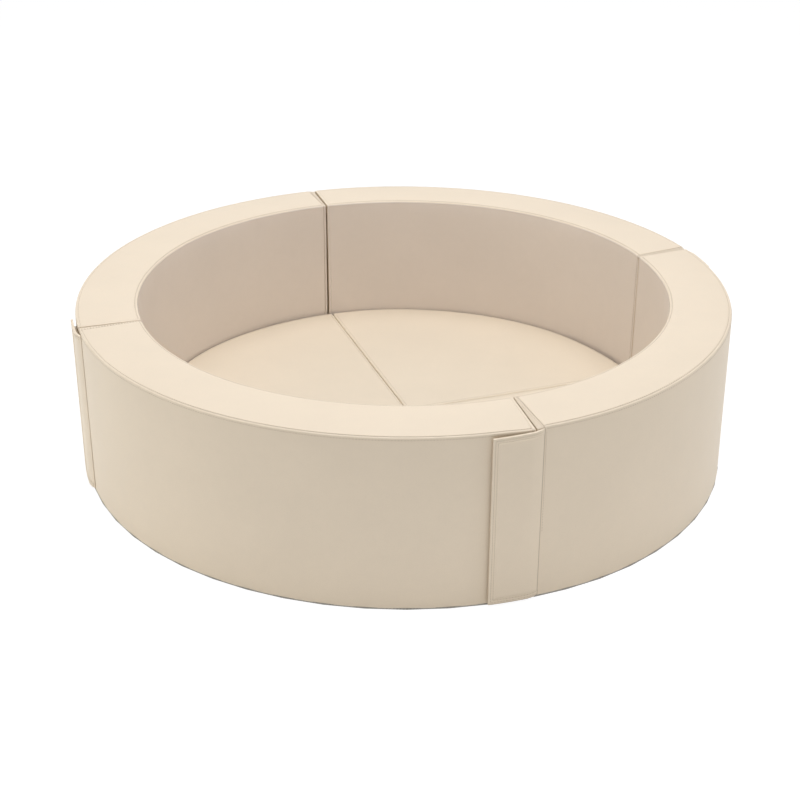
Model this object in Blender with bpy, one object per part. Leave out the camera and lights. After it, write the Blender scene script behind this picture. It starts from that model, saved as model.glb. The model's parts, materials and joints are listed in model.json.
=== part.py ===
# Round soft-play ball pit, empty.
# Four foam wall sections close into a ring with hook-and-loop flaps, round a floor of four
# quarter-round foam pads. Each section and each pad is a foam core in a faux-leather cover
# with a non-slip base panel and a zip that runs round the underside.
# Metres, +Z up. The origin is on the floor at the centre of the ring.

import bpy
import bmesh
from math import asin, cos, degrees, pi, radians, sin, sqrt

# Ring
outer_radius = 0.780        # to the outside face of the wall
wall_thickness = 0.1445     # outside face to inside face
wall_height = 0.404         # floor to the sewn top edge
wall_crown = 0.003          # swell of the top panel above its edges
first_joint = 20.0          # degrees from +X to the first joint
sections = 4                # wall sections, and pads
facets = 14                 # flat faces along one section

# Covers, shared by the wall and the pads
cover_thickness = 0.001
base_thickness = 0.0015
edge_radius = 0.008         # soft edge between two sewn panels
end_radius = 0.012          # softer edge round the end panels
seam_width = 0.003          # groove where the top panel is sewn in
seam_depth = 0.001
fit_gap = 0.0003            # between pieces that lie on each other
weld_distance = 0.00001     # points of one mesh that are the same point
joint_gap = 0.0008          # between neighbouring sections, and between pads

# Floor pads
pad_gap = 0.005             # pads to the wall round them, so that they lift out
pad_thickness = 0.084       # floor to the sewn top edge
pad_crown = 0.003
pad_crown_reach = 0.150     # how far in from its edge a pad goes on rising
pad_corner = 0.010          # corner cut of a pad, seen from above

# Closing flaps, and the hook and loop tapes under them
flap_width = 0.110          # sewn line to free edge, round the wall
flap_thickness = 0.003
flap_inset = 0.0155         # sewn line to the end of its own section, at its end seam
flap_drop = 0.010           # flap's top edge below the rim
flap_lift = 0.008           # flap's bottom edge above the floor
flap_ramp = 0.030           # stretch in which the flap steps out over the tapes
flap_soft_edge = 0.0008
flap_facets = 8
tape_width = 0.060
tape_thickness = 0.002
tape_margin = 0.010         # tape to the flap's free edge
tape_end_margin = 0.014     # tape to the flap's top and bottom edges
tape_facets = 4

# Zips on the underside
zip_band = 0.034            # side of the cover to the edge of the base panel
zip_overlap = 0.006         # zip tape lying on the base panel's edge
zip_slope = 0.006           # stretch in which the tape rises from the base panel
zip_lift = 0.0048           # floor to the underside of the raised tape
zip_tape_thickness = 0.0008
zip_side_gap = 0.0008       # raised tape to the inside of the cover
zip_end_margin = 0.022      # end of the zip to the end of the section
coil_width = 0.004
coil_depth = 0.001
slider_length = 0.016
slider_wall = 0.0014
slider_gap = 0.0005         # above and below the coil
pocket_gap = 0.0015         # between the zip and the foam over it

# Shapes of curves, as shares
edge_turns = (15.0, 45.0, 90.0)         # degrees round a soft end edge
corner_turns = (0.0, 45.0, 90.0)        # degrees round a soft top edge
crown_shares = (0.3, 0.7)               # places across the top panel
pad_ring_shares = (0.4, 1.0)            # rings across a pad's crown
ramp_shares = (0.67, 0.33, 0.0)         # places down the flap's step, to its sewn line
slider_shares = (0.0, 0.5, 1.0)         # places along a zip slider
foam_rounding_share = 0.6               # of the cover's soft edge
coil_slope_share = 0.2                  # of the coil's width
chamfer_loss_share = 2.0 - sqrt(2.0)    # what an inset takes off a corner cut
least_corner_share = 0.3
sharp_angle = 30.0                      # degrees, past which an edge is drawn sharp
bevel_angle = 60.0                      # degrees, past which a flap's edge is softened

section_angle = 360.0 / sections
inner_radius = outer_radius - wall_thickness
pad_radius = inner_radius - pad_gap
cover_bottom = base_thickness + fit_gap
groove_slope = 2.0 * seam_depth / seam_width
crossing_wall = cover_thickness * sqrt(1.0 + 2.0 * groove_slope * groove_slope)   # where two grooves cross
foam_inset = 2.0 * seam_depth + crossing_wall + fit_gap
zip_top = zip_lift + zip_tape_thickness
pocket_top = zip_top + pocket_gap
pocket_width = zip_band + zip_overlap + pocket_gap
flap_bottom = flap_lift
flap_top = wall_height - flap_drop
flap_stand = 2.0 * tape_thickness + 2.0 * fit_gap   # how far the flap steps out over the tapes
hinge_radius = outer_radius + fit_gap + flap_thickness / 2.0
facet_depth = inner_radius * (1.0 - cos(radians(section_angle / (2.0 * facets))))
slider_play = facet_depth + 2.0 * fit_gap           # each side of the coil
slider_width = coil_width + 2.0 * slider_play + 2.0 * slider_wall


def clear_scene():
    for old in list(bpy.data.objects):
        bpy.data.objects.remove(old, do_unlink=True)


def material(name, colour, roughness, metallic=0.0):
    made = bpy.data.materials.new(name)
    made.use_nodes = True
    shader = made.node_tree.nodes["Principled BSDF"]
    shader.inputs["Base Color"].default_value = (*colour, 1.0)
    shader.inputs["Roughness"].default_value = roughness
    shader.inputs["Metallic"].default_value = metallic
    made.diffuse_color = (*colour, 1.0)
    return made


def on_plane(radius, height, angle, shift):
    """A point on the plane that stands radially at angle, moved sideways by shift, at that true radius."""
    turn = radians(angle)
    along = sqrt(radius * radius - shift * shift)
    return (along * cos(turn) - shift * sin(turn), along * sin(turn) + shift * cos(turn), height)


def mesh_of(name, points, faces):
    made = bpy.data.meshes.new(name)
    made.from_pydata(points, [], faces)
    made.validate()
    made.shade_smooth()
    made.set_sharp_from_angle(angle=radians(sharp_angle))
    return made


def swept(name, profile_at, stations, closed=True):
    """Carries a (radius, height) profile round the ring. A station is (angle, shift, inset)."""
    points = []
    for angle, shift, inset in stations:
        points += [on_plane(radius, height, angle, shift) for radius, height in profile_at(inset)]
    count = len(points) // len(stations)
    faces = []
    for here in range(len(stations) - 1):
        low = here * count
        high = low + count
        for j in range(count if closed else count - 1):
            k = (j + 1) % count
            faces.append((low + j, high + j, high + k, low + k))
    faces.append(tuple(range(count)))
    last = (len(stations) - 1) * count
    faces.append(tuple(last + j for j in reversed(range(count))))
    return mesh_of(name, points, faces)


def stacked(name, rings, open_bottom=False):
    """Joins plan outlines of equal length from the lowest to the highest, and closes the top."""
    points = [point for ring in rings for point in ring]
    count = len(rings[0])
    faces = []
    for here in range(len(rings) - 1):
        low = here * count
        high = low + count
        for j in range(count):
            k = (j + 1) % count
            faces.append((low + j, low + k, high + k, high + j))
    last = (len(rings) - 1) * count
    faces.append(tuple(last + j for j in range(count)))
    if not open_bottom:
        faces.append(tuple(reversed(range(count))))
    return mesh_of(name, points, faces)


def section_stations(seams):
    """Stations of one section from its clockwise end at angle 0, with soft ends and an end seam."""
    start = joint_gap / 2.0
    ends = []
    for turn in edge_turns:
        shift = start + end_radius * (1.0 - cos(radians(turn)))
        ends.append((shift, end_radius * (1.0 - sin(radians(turn)))))
    if seams:
        ends.append((start + end_radius + seam_width / 2.0, seam_depth))
        ends.append((start + end_radius + seam_width, 0.0))
    step = section_angle / facets
    first = [(0.0, shift, inset) for shift, inset in ends]
    middle = [(step * i, 0.0, 0.0) for i in range(1, facets)]
    final = [(section_angle, -shift, inset) for shift, inset in reversed(ends)]
    return first + middle + final


def even_stations(start_shift, count, inset=0.0):
    """Evenly spaced stations that start and stop the same distance from the section's ends."""
    step = section_angle / count
    middle = [(step * i, 0.0, inset) for i in range(1, count)]
    return [(0.0, start_shift, inset)] + middle + [(section_angle, -start_shift, inset)]


def wall_side(radius, inward, rounding, seams):
    """Points from a side's foot over its soft top edge, with the seam groove behind the edge."""
    points = [(radius, cover_bottom)]
    for turn in corner_turns:
        across = rounding * (1.0 - cos(radians(turn)))
        up = rounding * (1.0 - sin(radians(turn)))
        points.append((radius + inward * across, -up))
    if seams:
        points.append((radius + inward * (rounding + seam_width / 2.0), -seam_depth))
        points.append((radius + inward * (rounding + seam_width), 0.0))
    return points


def wall_outline(inset, rounding, seams):
    """Up the outside, over the crowned top and down the inside of a wall section."""
    top = wall_height - inset
    outer = wall_side(outer_radius - inset, -1.0, rounding, seams)
    inner = wall_side(inner_radius + inset, 1.0, rounding, seams)
    start = outer[-1][0]
    span = inner[-1][0] - start
    crown = [(start + span * s, 4.0 * wall_crown * s * (1.0 - s)) for s in crown_shares]
    over = outer[1:] + crown + list(reversed(inner[1:]))
    return [outer[0]] + [(radius, top + height) for radius, height in over] + [inner[0]]


def cover_profile(inset):
    return wall_outline(inset, edge_radius * (1.0 - inset / end_radius), True)


def foam_profile(inset):
    """The core's outline, with a pocket over the zip at its lower inside corner."""
    points = wall_outline(foam_inset + inset, foam_rounding_share * edge_radius, False)
    side = points[-1][0]
    pocket = inner_radius + pocket_width
    return points[:-1] + [(side, pocket_top), (pocket, pocket_top), (pocket, cover_bottom)]


def base_profile(inset):
    outer = outer_radius - inset
    inner = inner_radius + zip_band
    return [(outer, 0.0), (outer, base_thickness), (inner, base_thickness), (inner, 0.0)]


def zip_profile(side, away):
    """Zip tape from the base panel's edge up to the cover's side, with its coil underneath.
    Side is the radius of the cover's face, and away is the way from it to the base panel."""
    foot = zip_band + zip_overlap
    rise = zip_band - zip_slope
    middle = (cover_thickness + rise) / 2.0
    half = coil_width / 2.0
    tip = half - coil_slope_share * coil_width
    near = cover_thickness + zip_side_gap
    low = base_thickness + fit_gap
    points = [
        (foot, low),
        (foot, low + zip_tape_thickness),
        (zip_band, low + zip_tape_thickness),
        (rise, zip_top),
        (near, zip_top),
        (near, zip_lift),
        (middle - half, zip_lift),
        (middle - tip, zip_lift - coil_depth),
        (middle + tip, zip_lift - coil_depth),
        (middle + half, zip_lift),
        (rise, zip_lift),
        (zip_band, low),
    ]
    placed = [(side + away * across, height) for across, height in points]
    return placed if away > 0.0 else list(reversed(placed))


def slider_profile(side, away):
    """Channel that straddles the coil from below, open towards the tape."""
    middle = side + away * (cover_thickness + zip_band - zip_slope) / 2.0
    outer = slider_width / 2.0
    inner = outer - slider_wall
    top = zip_lift - slider_gap
    floor = zip_lift - coil_depth - slider_gap
    return [
        (middle + outer, floor - slider_wall),
        (middle + outer, top),
        (middle + inner, top),
        (middle + inner, floor),
        (middle - inner, floor),
        (middle - inner, top),
        (middle - outer, top),
        (middle - outer, floor - slider_wall),
    ]


def slider_stations():
    """The slider parks at the clockwise end of its zip."""
    start = joint_gap / 2.0 + zip_end_margin
    return [(0.0, start + slider_length * share, 0.0) for share in slider_shares]


def pad_outline(inset, height, radius=pad_radius):
    """Plan of a quarter pad between angles 0 and 90 degrees, with its corners cut."""
    half = joint_gap / 2.0 + inset
    reach = radius - inset
    cut = max(pad_corner - chamfer_loss_share * inset, least_corner_share * pad_corner)
    edge = sqrt(reach * reach - half * half)
    first = asin(half / reach) + cut / reach
    last = radians(section_angle) - first
    points = [(half + cut, half), (edge - cut, half)]
    for i in range(facets + 1):
        turn = first + (last - first) * i / facets
        points.append((reach * cos(turn), reach * sin(turn)))
    points += [(half, edge - cut), (half, half + cut)]
    return [(x, y, height) for x, y in points]


def pad_cover_mesh():
    rings = [pad_outline(0.0, cover_bottom)]
    for turn in corner_turns:
        inset = edge_radius * (1.0 - cos(radians(turn)))
        rings.append(pad_outline(inset, pad_thickness - edge_radius * (1.0 - sin(radians(turn)))))
    rings.append(pad_outline(edge_radius + seam_width / 2.0, pad_thickness - seam_depth))
    start = edge_radius + seam_width
    rings.append(pad_outline(start, pad_thickness))
    for share in pad_ring_shares:
        rise = pad_crown * (1.0 - (1.0 - share) ** 2)
        rings.append(pad_outline(start + share * pad_crown_reach, pad_thickness + rise))
    return stacked("pad_cover", rings, open_bottom=True)


def pad_foam_mesh():
    rounding = foam_rounding_share * edge_radius
    top = pad_thickness - foam_inset
    rings = [
        pad_outline(foam_inset, cover_bottom),
        pad_outline(foam_inset, top - rounding),
        pad_outline(foam_inset + rounding, top),
    ]
    for share in pad_ring_shares:
        rise = pad_crown * (1.0 - (1.0 - share) ** 2)
        reach = edge_radius + seam_width + foam_inset + share * pad_crown_reach
        rings.append(pad_outline(reach, top + rise))
    return stacked("pad_foam", rings)


def pad_base_mesh():
    radius = pad_radius - zip_band
    return stacked("pad_base", [pad_outline(0.0, 0.0, radius), pad_outline(0.0, base_thickness, radius)])


def pocket_cutter_mesh():
    """Full ring that clears the foam of the pads over their zips."""
    inner = pad_radius - pocket_width
    corners = [
        (outer_radius, -pocket_top),
        (outer_radius, pocket_top),
        (inner, pocket_top),
        (inner, -pocket_top),
    ]
    bm = bmesh.new()
    loop = [bm.verts.new((radius, 0.0, height)) for radius, height in corners]
    edges = [bm.edges.new((loop[j - 1], loop[j])) for j in range(len(loop))]
    bmesh.ops.spin(
        bm,
        geom=loop + edges,
        axis=(0.0, 0.0, 1.0),
        cent=(0.0, 0.0, 0.0),
        angle=2.0 * pi,
        steps=sections * facets,
        use_merge=True,
    )
    bmesh.ops.remove_doubles(bm, verts=bm.verts, dist=weld_distance)
    bmesh.ops.recalc_face_normals(bm, faces=bm.faces)
    made = bpy.data.meshes.new("pocket_cutter")
    bm.to_mesh(made)
    bm.free()
    return made


def flap_angle(distance):
    """Angle of a point that lies so far round from the flap's sewn line, from its hinge."""
    return -degrees(distance / outer_radius)


def flap_mesh():
    """Flap from its free edge to its sewn line, which steps out over the tapes."""
    points = []
    for i in range(flap_facets + 1):
        distance = flap_width - (flap_width - flap_ramp) * i / flap_facets
        points.append((distance, flap_stand))
    for share in ramp_shares:
        points.append((flap_ramp * share, flap_stand * share * share * (3.0 - 2.0 * share)))
    bm = bmesh.new()
    loops = []
    for distance, stand in points:
        inside = outer_radius + fit_gap + stand
        angle = flap_angle(distance)
        corners = (
            (inside + flap_thickness, flap_bottom),
            (inside + flap_thickness, flap_top),
            (inside, flap_top),
            (inside, flap_bottom),
        )
        loops.append([bm.verts.new(on_plane(radius, height, angle, 0.0)) for radius, height in corners])
    for here, there in zip(loops, loops[1:]):
        for j in range(4):
            k = (j + 1) % 4
            bm.faces.new((here[j], there[j], there[k], here[k]))
    bm.faces.new(loops[0])
    bm.faces.new(list(reversed(loops[-1])))
    for vertex in bm.verts:
        vertex.co.x -= hinge_radius
    made = bpy.data.meshes.new("flap")
    bm.to_mesh(made)
    bm.free()
    made.shade_smooth()
    made.set_sharp_from_angle(angle=radians(sharp_angle))
    return made


def tape_mesh(name, inside, origin):
    """A strip of hook or loop tape that curves with the wall."""
    low = flap_bottom + tape_end_margin
    high = flap_top - tape_end_margin
    outside = inside + tape_thickness
    profile = [(outside, low), (outside, high), (inside, high), (inside, low)]
    far = flap_width - tape_margin
    stations = []
    for i in range(tape_facets + 1):
        stations.append((flap_angle(far - tape_width * i / tape_facets), 0.0, 0.0))
    made = swept(name, lambda inset: profile, stations)
    for vertex in made.vertices:
        vertex.co.x -= origin
    return made


def empty(name, location, angle, parent=None):
    made = bpy.data.objects.new(name, None)
    bpy.context.scene.collection.objects.link(made)
    made.location = location
    made.rotation_euler = (0.0, 0.0, radians(angle))
    made.parent = parent
    return made


def place(name, mesh, finish, parent):
    made = bpy.data.objects.new(name, mesh)
    bpy.context.scene.collection.objects.link(made)
    made.parent = parent
    if not mesh.materials:
        mesh.materials.append(finish)
    return made


def add_shell(piece):
    shell = piece.modifiers.new("cover_wall", "SOLIDIFY")
    shell.thickness = cover_thickness
    shell.offset = -1.0
    shell.use_even_offset = True


def add_soft_edges(piece):
    soft = piece.modifiers.new("soft_edges", "BEVEL")
    soft.width = flap_soft_edge
    soft.segments = 1
    soft.limit_method = "ANGLE"
    soft.angle_limit = radians(bevel_angle)


def add_pocket(piece, cutter):
    cut = piece.modifiers.new("zip_pocket", "BOOLEAN")
    cut.operation = "DIFFERENCE"
    cut.object = cutter


def build():
    clear_scene()
    leather = material("cream_faux_leather", (0.80, 0.70, 0.57), 0.45)
    pad_leather = material("cream_pad_leather", (0.83, 0.74, 0.60), 0.45)
    flap_leather = material("cream_flap_leather", (0.79, 0.69, 0.56), 0.45)
    base_cloth = material("non_slip_base_cloth", (0.16, 0.14, 0.12), 0.85)
    foam = material("foam", (0.86, 0.84, 0.76), 0.95)
    hook = material("hook_tape", (0.72, 0.62, 0.50), 0.80)
    loop = material("loop_tape", (0.74, 0.64, 0.52), 0.95)
    zip_tape = material("zip_tape", (0.66, 0.57, 0.45), 0.80)
    slider_metal = material("zip_slider", (0.62, 0.60, 0.56), 0.35, 0.9)

    soft_stations = section_stations(False)
    foam_end = joint_gap / 2.0 + foam_inset
    foam_cut = foam_rounding_share * end_radius
    foam_stations = even_stations(foam_end + foam_cut, facets)
    foam_stations = [(0.0, foam_end, foam_cut)] + foam_stations + [(section_angle, -foam_end, foam_cut)]
    zip_stations = even_stations(joint_gap / 2.0 + zip_end_margin, facets)
    wall_zip_profile = zip_profile(inner_radius, 1.0)
    pad_zip_profile = zip_profile(pad_radius, -1.0)
    wall_slider_profile = slider_profile(inner_radius, 1.0)
    pad_slider_profile = slider_profile(pad_radius, -1.0)

    cover = swept("wall_cover", cover_profile, section_stations(True), closed=False)
    core = swept("wall_foam", foam_profile, foam_stations)
    base = swept("wall_base", base_profile, soft_stations)
    wall_zip = swept("wall_zip", lambda inset: wall_zip_profile, zip_stations)
    wall_slider = swept("wall_zip_slider", lambda inset: wall_slider_profile, slider_stations())
    pad_cover = pad_cover_mesh()
    pad_core = pad_foam_mesh()
    pad_base = pad_base_mesh()
    pad_zip = swept("pad_zip", lambda inset: pad_zip_profile, zip_stations)
    pad_slider = swept("pad_zip_slider", lambda inset: pad_slider_profile, slider_stations())
    flap = flap_mesh()
    hook_tape = tape_mesh("flap_hook_tape", outer_radius + tape_thickness + 2.0 * fit_gap, hinge_radius)
    loop_tape = tape_mesh("wall_loop_tape", outer_radius + fit_gap, 0.0)

    cutter = bpy.data.objects.new("pocket_cutter", pocket_cutter_mesh())
    bpy.context.scene.collection.objects.link(cutter)
    cutter.hide_render = True
    cutter.display_type = "WIRE"

    for k in range(1, sections + 1):
        start = first_joint + section_angle * (k - 2)
        sewn = degrees(flap_inset / outer_radius)
        turn = radians(sewn)
        section = empty(f"section_{k}", (0.0, 0.0, 0.0), start)
        next_end = empty(f"section_{k}_loop_end", (0.0, 0.0, 0.0), section_angle + sewn, section)
        hinge_at = (hinge_radius * cos(turn), hinge_radius * sin(turn), 0.0)
        hinge = empty(f"flap_{k}_hinge", hinge_at, sewn, section)
        pad = empty(f"pad_{k}", (0.0, 0.0, 0.0), start)

        add_shell(place(f"wall_cover_{k}", cover, leather, section))
        place(f"wall_foam_{k}", core, foam, section)
        place(f"wall_base_{k}", base, base_cloth, section)
        place(f"wall_zip_{k}", wall_zip, zip_tape, section)
        place(f"wall_zip_slider_{k}", wall_slider, slider_metal, section)
        place(f"wall_loop_tape_{k}", loop_tape, loop, next_end)
        add_soft_edges(place(f"flap_{k}", flap, flap_leather, hinge))
        place(f"flap_hook_tape_{k}", hook_tape, hook, hinge)

        add_shell(place(f"pad_cover_{k}", pad_cover, pad_leather, pad))
        pad_foam = place(f"pad_foam_{k}", pad_core, foam, pad)
        pad_foam.data = pad_core if k == 1 else pad_core.copy()
        add_pocket(pad_foam, cutter)
        place(f"pad_base_{k}", pad_base, base_cloth, pad)
        place(f"pad_zip_{k}", pad_zip, zip_tape, pad)
        place(f"pad_zip_slider_{k}", pad_slider, slider_metal, pad)


build()
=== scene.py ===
# Round ball pit in cream faux leather, shown empty: four padded wall sections, the four flaps that
# close them into a ring, and four quarter-round floor pads. Metres, +Z up, the front is -Y.
import json
import bpy
import bmesh
import numpy as np
from math import asin, atan2, cos, degrees, hypot, pi, radians, sin, sqrt
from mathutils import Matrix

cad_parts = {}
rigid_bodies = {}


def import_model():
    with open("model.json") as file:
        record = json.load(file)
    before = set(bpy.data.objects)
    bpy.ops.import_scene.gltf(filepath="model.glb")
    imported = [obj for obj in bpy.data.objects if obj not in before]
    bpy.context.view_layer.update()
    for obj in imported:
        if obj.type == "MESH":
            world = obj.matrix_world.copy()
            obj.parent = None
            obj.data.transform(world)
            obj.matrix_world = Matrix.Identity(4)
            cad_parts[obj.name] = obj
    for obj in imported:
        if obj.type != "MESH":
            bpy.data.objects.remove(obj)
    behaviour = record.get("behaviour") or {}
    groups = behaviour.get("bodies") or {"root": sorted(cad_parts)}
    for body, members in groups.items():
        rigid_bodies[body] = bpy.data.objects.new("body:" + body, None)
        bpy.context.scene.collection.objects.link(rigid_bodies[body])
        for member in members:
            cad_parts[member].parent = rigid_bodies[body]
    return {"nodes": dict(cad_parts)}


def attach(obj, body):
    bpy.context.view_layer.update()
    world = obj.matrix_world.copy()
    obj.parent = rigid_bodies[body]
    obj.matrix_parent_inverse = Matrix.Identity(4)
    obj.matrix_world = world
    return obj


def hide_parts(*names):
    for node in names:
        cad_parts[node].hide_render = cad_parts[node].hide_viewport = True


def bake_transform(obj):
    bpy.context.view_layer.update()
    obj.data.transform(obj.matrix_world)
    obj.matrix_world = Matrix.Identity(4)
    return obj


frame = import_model()
bpy.ops.object.select_all(action="DESELECT")
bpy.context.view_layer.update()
print("frame loaded,", len(frame["nodes"]), "nodes")


def reach(node):
    # least and greatest radius, lowest and highest point of a frame node
    points = [vert.co for vert in frame["nodes"][node].data.vertices]
    radii = [hypot(point.x, point.y) for point in points]
    heights = [point.z for point in points]
    return min(radii), max(radii), min(heights), max(heights)


ring = {"sections": 4, "firstJoint": 20.0, "jointGap": 0.0024}
ring["angle"] = 360.0 / ring["sections"]
ring["inner"], ring["outer"], ring["low"], ring["top"] = reach("wall_cover_1")
ring["crown"] = 0.0025  # what the top panel swells above its sewn edges
ring["rim"] = ring["top"] - ring["crown"]
ring["thick"] = ring["outer"] - ring["inner"]
ring["middle"] = (ring["outer"] + ring["inner"]) / 2.0
numbers = range(1, ring["sections"] + 1)


def sectionStart(number):
    return ring["firstJoint"] + ring["angle"] * (number - 2)


# Working in edit mode

def pick(piece):
    bpy.ops.object.select_all(action="DESELECT")
    piece.select_set(True)
    bpy.context.view_layer.objects.active = piece


def openUp(piece):
    pick(piece)
    bpy.ops.object.mode_set(mode="EDIT")


def closeUp():
    bpy.ops.object.mode_set(mode="OBJECT")


def choose(piece, kind, test):
    # selects the edges or faces that pass the test
    bpy.ops.mesh.select_mode(type=kind)
    bpy.ops.mesh.select_all(action="DESELECT")
    cells = bmesh.from_edit_mesh(piece.data)
    for item in cells.edges if kind == "EDGE" else cells.faces:
        if test(item):
            item.select_set(True)
    bmesh.update_edit_mesh(piece.data)


def chooseAll():
    bpy.ops.mesh.select_all(action="SELECT")


def turnUpright(axis):
    bpy.ops.transform.rotate(value=radians(90.0), orient_axis=axis, center_override=(0.0, 0.0, 0.0))


def extrude(offset):
    bpy.ops.mesh.extrude_region_move(TRANSFORM_OT_translate={"value": offset})


def faceOutward():
    chooseAll()
    bpy.ops.mesh.normals_make_consistent(inside=False)


def finishWith(piece, kind, **settings):
    pick(piece)
    modifier = piece.modifiers.new(kind.lower(), kind)
    for name, value in settings.items():
        setattr(modifier, name, value)
    bpy.ops.object.modifier_apply(modifier=modifier.name)


def place(piece, turn):
    # turns a piece about the ring's axis and leaves its object at the origin
    pick(piece)
    piece.rotation_euler = (0.0, 0.0, radians(turn))
    bpy.ops.object.transform_apply(location=True, rotation=True, scale=True)


def copyOf(piece, name):
    made = piece.copy()
    made.data = piece.data.copy()
    made.name = made.data.name = name
    bpy.context.scene.collection.objects.link(made)
    return made


def throwAway(piece):
    bpy.data.objects.remove(piece, do_unlink=True)


def pointsOf(piece):
    points = np.empty(len(piece.data.vertices) * 3)
    piece.data.vertices.foreach_get("co", points)
    return points.reshape(-1, 3)


def newGrid(name, across, up, size=1.0):
    bpy.ops.mesh.primitive_grid_add(x_subdivisions=across, y_subdivisions=up, size=size)
    bpy.context.object.name = name
    return bpy.context.object


def setPoints(piece, points):
    piece.data.vertices.foreach_set("co", points.ravel())
    piece.data.update()


def radiusOf(points):
    return np.hypot(points[:, 0], points[:, 1])


def smoothStep(value, low, high):
    share = np.clip((value - low) / (high - low), 0.0, 1.0)
    return share * share * (3.0 - 2.0 * share)


def mark(piece, name, domain, values):
    piece.data.attributes.new(name, "FLOAT", domain).data.foreach_set("value", values)


def shadeSmooth(piece):
    pick(piece)
    bpy.ops.object.shade_smooth_by_angle(angle=radians(50.0))


def fit(piece, body, node=None):
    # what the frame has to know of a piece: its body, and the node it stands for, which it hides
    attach(piece, body)
    if node:
        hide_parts(node)


# Camera, as the photo was taken

view = {
    "distance": 3.4335,  # from the ring's axis
    "aboveRim": 1.3863,
    "tilt": 63.807,
    "roll": -0.177,
    "turn": 0.214,
    "lens": 68.713,
    "sensor": 36.0,
}

eye = bpy.data.cameras.new("photoView")
eye.lens = view["lens"]
eye.sensor_width = view["sensor"]
photoCamera = bpy.data.objects.new("photoCamera", eye)
bpy.context.scene.collection.objects.link(photoCamera)
photoCamera.location = (0.0, -view["distance"], ring["rim"] + view["aboveRim"])
photoCamera.rotation_euler = (radians(view["tilt"]), radians(view["roll"]), radians(view["turn"]))
bpy.context.scene.camera = photoCamera
bpy.context.scene.view_settings.view_transform = "Standard"

# Shader nodes

def add(tree, kind, links=None, **settings):
    # a node with its settings; links gives an output or a value for each input
    node = tree.nodes.new("ShaderNode" + kind)
    for name, value in settings.items():
        setattr(node, name, value)
    for socket, source in (links or {}).items():
        if isinstance(source, bpy.types.NodeSocket):
            tree.links.new(source, node.inputs[socket])
        else:
            node.inputs[socket].default_value = source
    return node


def value(tree, operation, first, second=0.0):
    return add(tree, "Math", {0: first, 1: second}, operation=operation).outputs[0]


def spread(tree, source, least, most, low=0.0, high=1.0):
    # turns low to high of a value into least to most
    return add(tree, "MapRange", {"Value": source, 1: low, 2: high, 3: least, 4: most}).outputs[0]


def noise(tree, where, scale, detail=2.0, roughness=0.5, output="Fac"):
    links = {"Vector": where, "Scale": scale, "Detail": detail, "Roughness": roughness}
    return add(tree, "TexNoise", links).outputs[output]


def objectPlace(tree):
    return add(tree, "TexCoord").outputs["Object"]


def shaded(tree, colour, share):
    return add(tree, "VectorMath", {0: colour, 3: share}, operation="SCALE").outputs[0]


def blendColours(tree, share, first, second):
    return add(tree, "Mix", {0: share, 6: first, 7: second}, data_type="RGBA").outputs[2]


def group(name, inputs, outputs):
    # an empty node group; inputs and outputs give the value or the kind of each named socket
    tree = bpy.data.node_groups.new(name, "ShaderNodeTree")
    for label, start in inputs.items():
        kind = "Float" if isinstance(start, float) else "Color"
        socket = tree.interface.new_socket(name=label, in_out="INPUT", socket_type="NodeSocket" + kind)
        socket.default_value = start
    for label, kind in outputs.items():
        tree.interface.new_socket(name=label, in_out="OUTPUT", socket_type="NodeSocket" + kind)
    return tree, tree.nodes.new("NodeGroupInput").outputs, tree.nodes.new("NodeGroupOutput").inputs


def pattern(tree, nodeGroup, links=None):
    return add(tree, "Group", links, node_tree=nodeGroup).outputs


# Light and floor

studio = {
    "sky": 0.38,
    "skyColour": (1.0, 0.995, 0.985, 1.0),
    "lamps": {  # power, size, place and colour
        "topLight": (69.5, 3.2, (0.0, 0.0, 3.0), (1.0, 1.0, 1.03)),
        "leftLight": (40.5, 3.0, (-4.8, 0.0, 0.9), (1.0, 0.985, 0.87)),
        "rightLight": (17.5, 3.0, (4.8, 0.0, 0.9), (1.0, 1.0, 1.0)),
    },
    "aim": (0.0, 0.0, 0.3),
    "floorSize": 40.0,
    "floorColour": (0.95, 0.95, 0.95, 1.0),
    "floorGlow": 1.06,  # a background just past white
    "floorLight": 0.29,  # what it adds to the light it bounces
    "shadowShare": 0.16,  # how much of the floor's own shading shows
}


def emptyTree(owner):
    owner.use_nodes = True
    owner.node_tree.nodes.clear()
    return owner.node_tree


def seenOrMirrored(tree):
    # 1 for what the camera, a gloss or a clear piece sees
    path = add(tree, "LightPath").outputs
    either = value(tree, "MAXIMUM", path["Is Camera Ray"], path["Is Glossy Ray"])
    return value(tree, "MAXIMUM", either, path["Is Transmission Ray"])


def makeSky():
    world = bpy.data.worlds.new("studioSky")
    bpy.context.scene.world = world
    tree = emptyTree(world)
    lit = add(tree, "Background", {"Color": studio["skyColour"], "Strength": studio["sky"]})
    seen = add(tree, "Background", {"Color": (1.0, 1.0, 1.0, 1.0), "Strength": 1.0})
    mix = add(tree, "MixShader", {"Fac": seenOrMirrored(tree), 1: lit.outputs[0], 2: seen.outputs[0]})
    add(tree, "OutputWorld", {"Surface": mix.outputs[0]})


def makeLamp(name, power, size, location, colour):
    lamp = bpy.data.lights.new(name, "AREA")
    lamp.shape = "DISK"
    lamp.size = size
    lamp.energy = power
    lamp.color = colour
    made = bpy.data.objects.new(name, lamp)
    bpy.context.scene.collection.objects.link(made)
    made.location = location
    toward = np.array(studio["aim"]) - np.array(location)
    flat = hypot(toward[0], toward[1])
    made.rotation_euler = (atan2(flat, -toward[2]), 0.0, atan2(toward[0], -toward[1]) + pi if flat else 0.0)


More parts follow.
